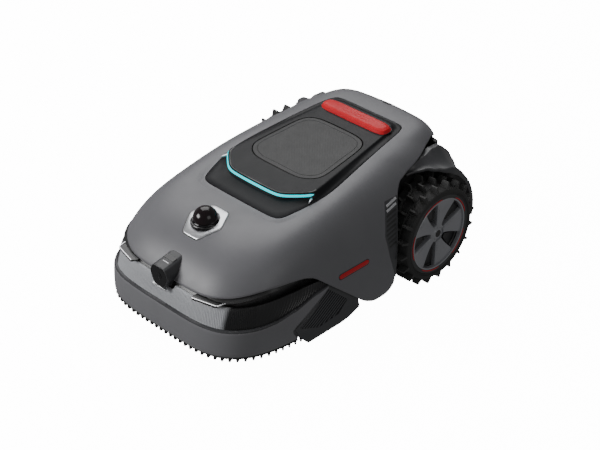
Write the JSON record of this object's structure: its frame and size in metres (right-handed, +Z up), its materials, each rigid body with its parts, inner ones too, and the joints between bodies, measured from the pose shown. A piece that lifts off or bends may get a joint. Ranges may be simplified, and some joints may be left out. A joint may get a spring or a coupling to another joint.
{
  "type": "robotic lawn mower",
  "caption": "Self-driving lawn mower with a domed cover, driven rear wheels, front casters, sprung bumper, hinged lid and a spinning blade disc that lifts and shifts sideways.",
  "frame": {"origin": "centre of the footprint, on the ground", "axes": "+Z up, -Y the way the mower drives, +X towards its left side"},
  "size_m": [0.43, 0.618, 0.2747],
  "materials": {
    "shell": "satin",
    "band": "satin",
    "black_gloss": "gloss",
    "black": "matte",
    "dark_grey": "satin",
    "silver": "brushed",
    "steel": "machined",
    "red": "satin",
    "light": "glowing",
    "dome": "dark smoked",
    "board": "solder mask",
    "battery": "matte",
    "contact": "plated",
    "tyre": "matte",
    "hub": "metallic paint",
    "glass": "dark glass"
  },
  "bodies": {
    "chassis": {"top_shell": "shell", "deck_frame": "black", "light_strip": "light", "deck_trims": "silver", "control_panel": "black", "display": "glass", "main_board": "board", "lidar_plinth": "silver", "lidar_ring": "black_gloss", "lidar_dome": "dome", "camera_housing": "dark_grey", "camera_window": "glass", "front_lamps": "black_gloss", "side_markers": "red", "vent_grilles": "black", "rain_sensor": "black_gloss", "wheel_fenders": "black", "left_skirt": "black", "right_skirt": "black", "chassis_tub": "black", "rear_panel": "dark_grey", "charge_contacts": "contact", "battery_pack": "battery", "gearmotors": "steel", "shell_screws": "steel", "lid_hinge_pin": "steel", "lift_rods": "steel"},
    "bumper": {"bumper_band": "band", "bumper_window": "black_gloss", "bumper_comb": "black"},
    "lid": {"lid": "black_gloss"},
    "stop": {"stop_button": "red"},
    "power": {"power_key": "dark_grey"},
    "home": {"home_key": "dark_grey"},
    "start": {"start_key": "dark_grey"},
    "lock": {"lock_key": "dark_grey"},
    "rotor": {"lidar_rotor": "black_gloss"},
    "left_wheel": {"left_tyre": "tyre", "left_rim": "dark_grey", "left_hub_cap": "hub", "left_pinstripe": "red"},
    "right_wheel": {"right_tyre": "tyre", "right_rim": "dark_grey", "right_hub_cap": "hub", "right_pinstripe": "red"},
    "left_swivel": {"left_fork": "black"},
    "left_roller": {"left_caster_wheel": "tyre"},
    "right_swivel": {"right_fork": "black"},
    "right_roller": {"right_caster_wheel": "tyre"},
    "lift": {"lift_frame": "dark_grey"},
    "carriage": {"shift_carriage": "dark_grey", "blade_motor": "steel"},
    "cutter": {"blade_disc": "dark_grey", "blade_screws": "steel"},
    "blade_a": {"blade_1": "steel"},
    "blade_b": {"blade_2": "steel"},
    "blade_c": {"blade_3": "steel"}
  },
  "joints": [
    {"name": "bumper_push", "type": "slide", "parent": "chassis", "child": "bumper", "axis": [0, 1, 0], "range_m": [0, 0.004], "stiffness_N_per_m": 400, "springref_m": -0.003},
    {"name": "lid_open", "type": "hinge", "parent": "chassis", "child": "lid", "pos_m": [0, -0.01914, 0.24528], "axis": [1, 0, 0], "range_deg": [0, 70]},
    {"name": "stop_press", "type": "slide", "parent": "chassis", "child": "stop", "axis": [0, 0.0889, -0.996], "range_m": [0, 0.004], "stiffness_N_per_m": 900, "springref_m": -0.003},
    {"name": "power_press", "type": "slide", "parent": "chassis", "child": "power", "axis": [0, 0.0889, -0.996], "range_m": [0, 0.001], "stiffness_N_per_m": 500, "springref_m": -0.001},
    {"name": "home_press", "type": "slide", "parent": "chassis", "child": "home", "axis": [0, 0.0889, -0.996], "range_m": [0, 0.001], "stiffness_N_per_m": 500, "springref_m": -0.001},
    {"name": "start_press", "type": "slide", "parent": "chassis", "child": "start", "axis": [0, 0.0889, -0.996], "range_m": [0, 0.001], "stiffness_N_per_m": 500, "springref_m": -0.001},
    {"name": "lock_press", "type": "slide", "parent": "chassis", "child": "lock", "axis": [0, 0.0889, -0.996], "range_m": [0, 0.001], "stiffness_N_per_m": 500, "springref_m": -0.001},
    {"name": "rotor_spin", "type": "hinge", "parent": "chassis", "child": "rotor", "pos_m": [0, -0.192, 0.2], "axis": [0, 0, 1], "continuous": true},
    {"name": "left_wheel_spin", "type": "hinge", "parent": "chassis", "child": "left_wheel", "pos_m": [0.18, 0.188, 0.104], "axis": [1, 0, 0], "continuous": true},
    {"name": "right_wheel_spin", "type": "hinge", "parent": "chassis", "child": "right_wheel", "pos_m": [-0.18, 0.188, 0.104], "axis": [1, 0, 0], "continuous": true},
    {"name": "left_swivel_turn", "type": "hinge", "parent": "chassis", "child": "left_swivel", "pos_m": [0.118, -0.19, 0.08], "axis": [0, 0, 1], "continuous": true},
    {"name": "left_roller_spin", "type": "hinge", "parent": "left_swivel", "child": "left_roller", "pos_m": [0.118, -0.175, 0.034], "axis": [1, 0, 0], "continuous": true},
    {"name": "right_swivel_turn", "type": "hinge", "parent": "chassis", "child": "right_swivel", "pos_m": [-0.118, -0.19, 0.08], "axis": [0, 0, 1], "continuous": true},
    {"name": "right_roller_spin", "type": "hinge", "parent": "right_swivel", "child": "right_roller", "pos_m": [-0.118, -0.175, 0.034], "axis": [1, 0, 0], "continuous": true},
    {"name": "cut_height", "type": "slide", "parent": "chassis", "child": "lift", "axis": [0, 0, 1], "range_m": [0, 0.02]},
    {"name": "edge_shift", "type": "slide", "parent": "lift", "child": "carriage", "axis": [1, 0, 0], "range_m": [0, 0.07]},
    {"name": "cutter_spin", "type": "hinge", "parent": "carriage", "child": "cutter", "pos_m": [0, -0.022, 0.046], "axis": [0, 0, 1], "continuous": true},
    {"name": "blade_a_pivot", "type": "hinge", "parent": "cutter", "child": "blade_a", "pos_m": [0.07, -0.022, 0.0429], "axis": [0, 0, 1], "continuous": true},
    {"name": "blade_b_pivot", "type": "hinge", "parent": "cutter", "child": "blade_b", "pos_m": [-0.035, 0.03862, 0.0429], "axis": [0, 0, 1], "continuous": true},
    {"name": "blade_c_pivot", "type": "hinge", "parent": "cutter", "child": "blade_c", "pos_m": [-0.035, -0.08262, 0.0429], "axis": [0, 0, 1], "continuous": true}
  ]
}
